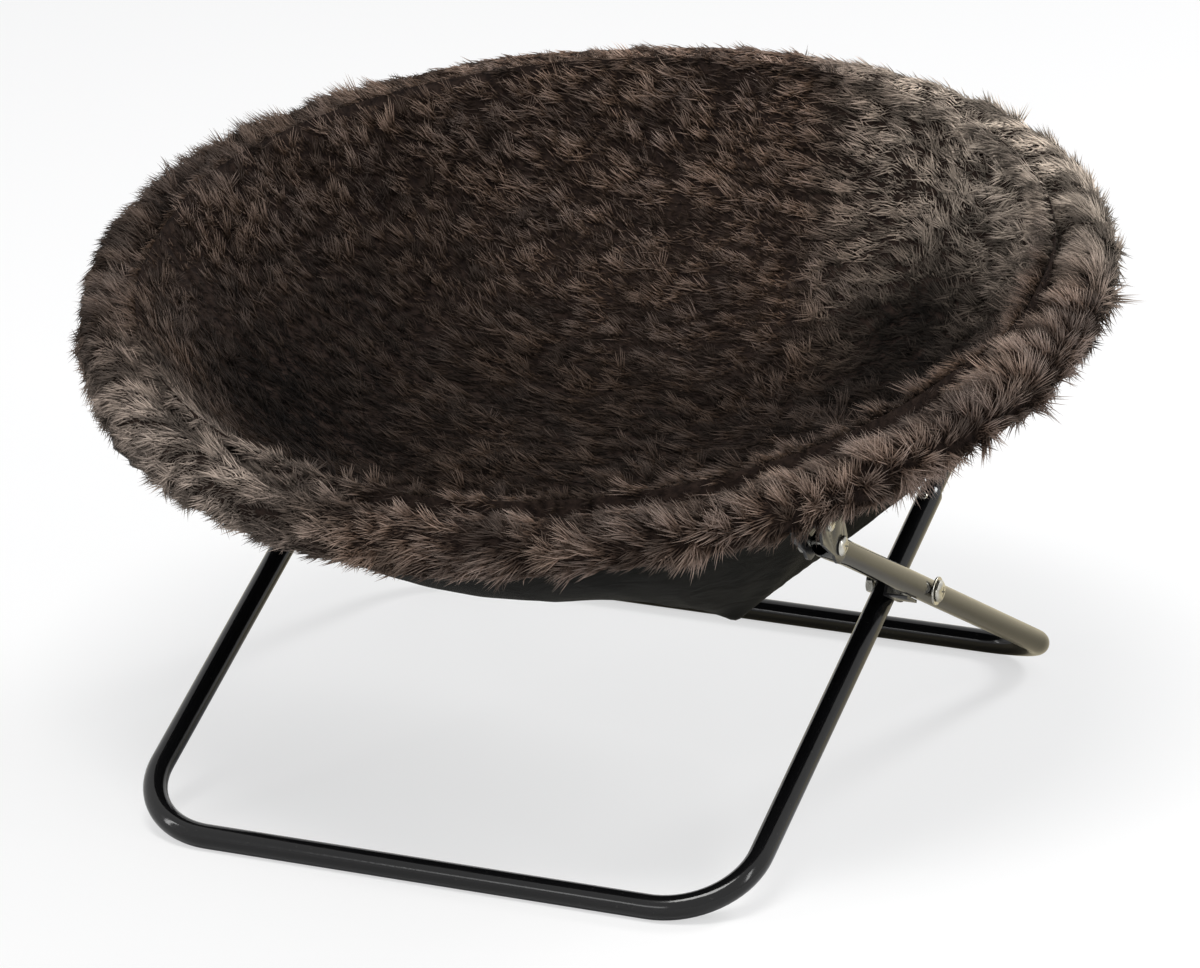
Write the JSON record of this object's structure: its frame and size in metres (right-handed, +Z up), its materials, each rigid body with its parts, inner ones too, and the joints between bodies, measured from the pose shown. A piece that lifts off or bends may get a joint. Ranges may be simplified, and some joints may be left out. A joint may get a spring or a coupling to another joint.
{
  "type": "folding cat lounger",
  "caption": "Folding saucer lounger for a cat: a long-pile padded bowl seat with a rolled rim on crossed black tube legs that fold up like a shell.",
  "frame": {"origin": "on the floor, under the middle of the overall box", "axes": "+X to the right along the floor bars, +Y to the back, where the hoop is highest, +Z up"},
  "size_m": [0.5454, 0.5334, 0.3185],
  "materials": {
    "gloss_black": "gloss",
    "dark_bracket": "satin",
    "zinc": "satin",
    "plush": "matte",
    "plush_seat": "matte",
    "black_cloth": "satin"
  },
  "bodies": {
    "rear_half": {"rear_half_hoop": "gloss_black", "hinge_channel_left": "zinc", "hinge_channel_right": "zinc", "hinge_pin_left": "zinc", "hinge_pin_right": "zinc", "hinge_rivet_left": "zinc", "hinge_rivet_right": "zinc", "rear_bracket_left": "dark_bracket", "rear_bracket_right": "dark_bracket", "rear_bracket_screw_left": "zinc", "rear_bracket_screw_right": "zinc", "rear_pin_rivet_inner_left": "zinc", "rear_pin_rivet_inner_right": "zinc", "rear_pin_rivet_outer_left": "zinc", "rear_pin_rivet_outer_right": "zinc", "rim_roll_rear": "plush", "seat_pad_rear": "plush_seat", "under_cloth_rear": "black_cloth"},
    "front_half": {"front_half_hoop": "gloss_black", "front_bracket_left": "dark_bracket", "front_bracket_right": "dark_bracket", "front_bracket_screw_left": "zinc", "front_bracket_screw_right": "zinc", "bracket_cross_bolt_left": "zinc", "bracket_cross_bolt_right": "zinc", "front_pin_bolt_left": "zinc", "front_pin_bolt_right": "zinc", "front_pin_nut_left": "zinc", "front_pin_nut_right": "zinc", "rim_roll_front": "plush", "seat_pad_front": "plush_seat", "under_cloth_front": "black_cloth"},
    "rear_leg": {"rear_leg_tube": "gloss_black", "cross_bolt_left": "zinc", "cross_bolt_right": "zinc", "cross_nut_left": "zinc", "cross_nut_right": "zinc", "cross_washer_left": "zinc", "cross_washer_right": "zinc", "cross_spacer_left": "zinc", "cross_spacer_right": "zinc"},
    "front_leg": {"front_leg_tube": "gloss_black", "leg_extension_left": "gloss_black", "leg_extension_right": "gloss_black", "extension_rivet_left": "zinc", "extension_rivet_right": "zinc", "stop_plate_left": "dark_bracket", "stop_plate_right": "dark_bracket"}
  },
  "joints": [
    {"name": "hoop_fold", "type": "hinge", "parent": "rear_half", "child": "front_half", "pos_m": [0, -0.03383, 0.24964], "axis": [-1, 0, 0], "range_deg": [0, 120], "deforming": ["rim_roll_front", "seat_pad_front", "under_cloth_front", "rim_roll_rear", "seat_pad_rear", "under_cloth_rear"]},
    {"name": "rear_leg_fold", "type": "hinge", "parent": "front_half", "child": "rear_leg", "pos_m": [0, -0.15128, 0.1814], "axis": [1, 0, 0], "range_deg": [0, 48.05]},
    {"name": "leg_cross", "type": "hinge", "parent": "rear_leg", "child": "front_leg", "pos_m": [0, -0.00842, 0.1116], "axis": [1, 0, 0], "range_deg": [0, 41.59]}
  ],
  "couplings": [
    {"joint": "rear_leg_fold", "follows": "hoop_fold", "ratio": 0.4003},
    {"joint": "leg_cross", "follows": "hoop_fold", "ratio": 0.34647}
  ]
}
